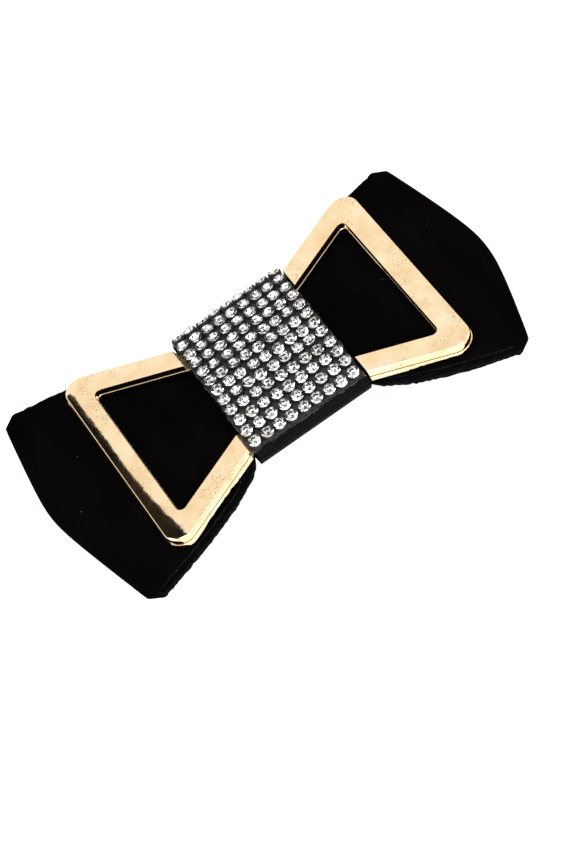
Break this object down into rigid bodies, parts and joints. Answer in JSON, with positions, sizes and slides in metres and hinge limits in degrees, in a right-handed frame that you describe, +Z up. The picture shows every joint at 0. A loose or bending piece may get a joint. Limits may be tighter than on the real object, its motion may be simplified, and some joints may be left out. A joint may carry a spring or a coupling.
{
  "type": "hair clip",
  "caption": "Black velvet bow hair clip with a gold hourglass frame and a rhinestone centre, on a spring barrette that opens and latches.",
  "frame": {"origin": "centre of the bounding box at table height, with the clip lying front up on its hinge ears and latch ears", "axes": "+X along the bow's length towards the latch end, +Z up out of the front of the bow, +Y across the bow towards the side over which the rhinestone patch wraps"},
  "size_m": [0.1112, 0.0636, 0.0249],
  "materials": {
    "velvet": "black cut-pile velvet with a soft sheen at grazing angles",
    "thread": "black polyester sewing thread",
    "gold": "moulded plastic with a bright light-gold electroplate, fine pits and light wear",
    "net": "dark grey translucent moulded net with round stone seats",
    "stone": "clear foil-backed cut glass rhinestones",
    "steel": "nickel-plated spring steel strip"
  },
  "bodies": {
    "clip_body": {"velvet_bow_loop": "velvet", "gathering_thread": "thread", "gold_bow_frame": "gold", "velvet_center_band": "velvet", "rhinestone_net": "net", "stone_row_1": "stone", "stone_row_2": "stone", "stone_row_3": "stone", "stone_row_4": "stone", "stone_row_5": "stone", "stone_row_6": "stone", "stone_row_7": "stone", "stone_row_8": "stone", "stone_row_9": "stone", "base_plate": "steel", "hinge_pin": "steel", "latch_bracket": "steel", "latch_rivet": "steel"},
    "clasp_arm": {"clasp_arm": "steel"},
    "tension_bar": {"tension_bar": "steel"},
    "latch_ear_front": {"latch_ear_front": "steel"},
    "latch_ear_back": {"latch_ear_back": "steel"}
  },
  "joints": [
    {"name": "clasp_hinge", "type": "hinge", "parent": "clip_body", "child": "clasp_arm", "pos_m": [-0.0363, 0.00022, 0.0022], "axis": [0, 1, 0], "range_deg": [0, 85]},
    {"name": "tension_bar_hinge", "type": "hinge", "parent": "clip_body", "child": "tension_bar", "pos_m": [-0.0363, 0.00022, 0.0022], "axis": [0, 1, 0], "range_deg": [0, 30]},
    {"name": "latch_front_squeeze", "type": "hinge", "parent": "clip_body", "child": "latch_ear_front", "pos_m": [0.0367, -0.00248, 0.005], "axis": [1, 0, 0], "range_deg": [0, 8], "stiffness_Nm_per_rad": 0.02},
    {"name": "latch_back_squeeze", "type": "hinge", "parent": "clip_body", "child": "latch_ear_back", "pos_m": [0.0367, 0.00292, 0.005], "axis": [-1, 0, 0], "range_deg": [0, 8]}
  ],
  "couplings": [
    {"joint": "tension_bar_hinge", "follows": "clasp_hinge", "ratio": 0.35},
    {"joint": "latch_back_squeeze", "follows": "latch_front_squeeze", "ratio": 1}
  ]
}
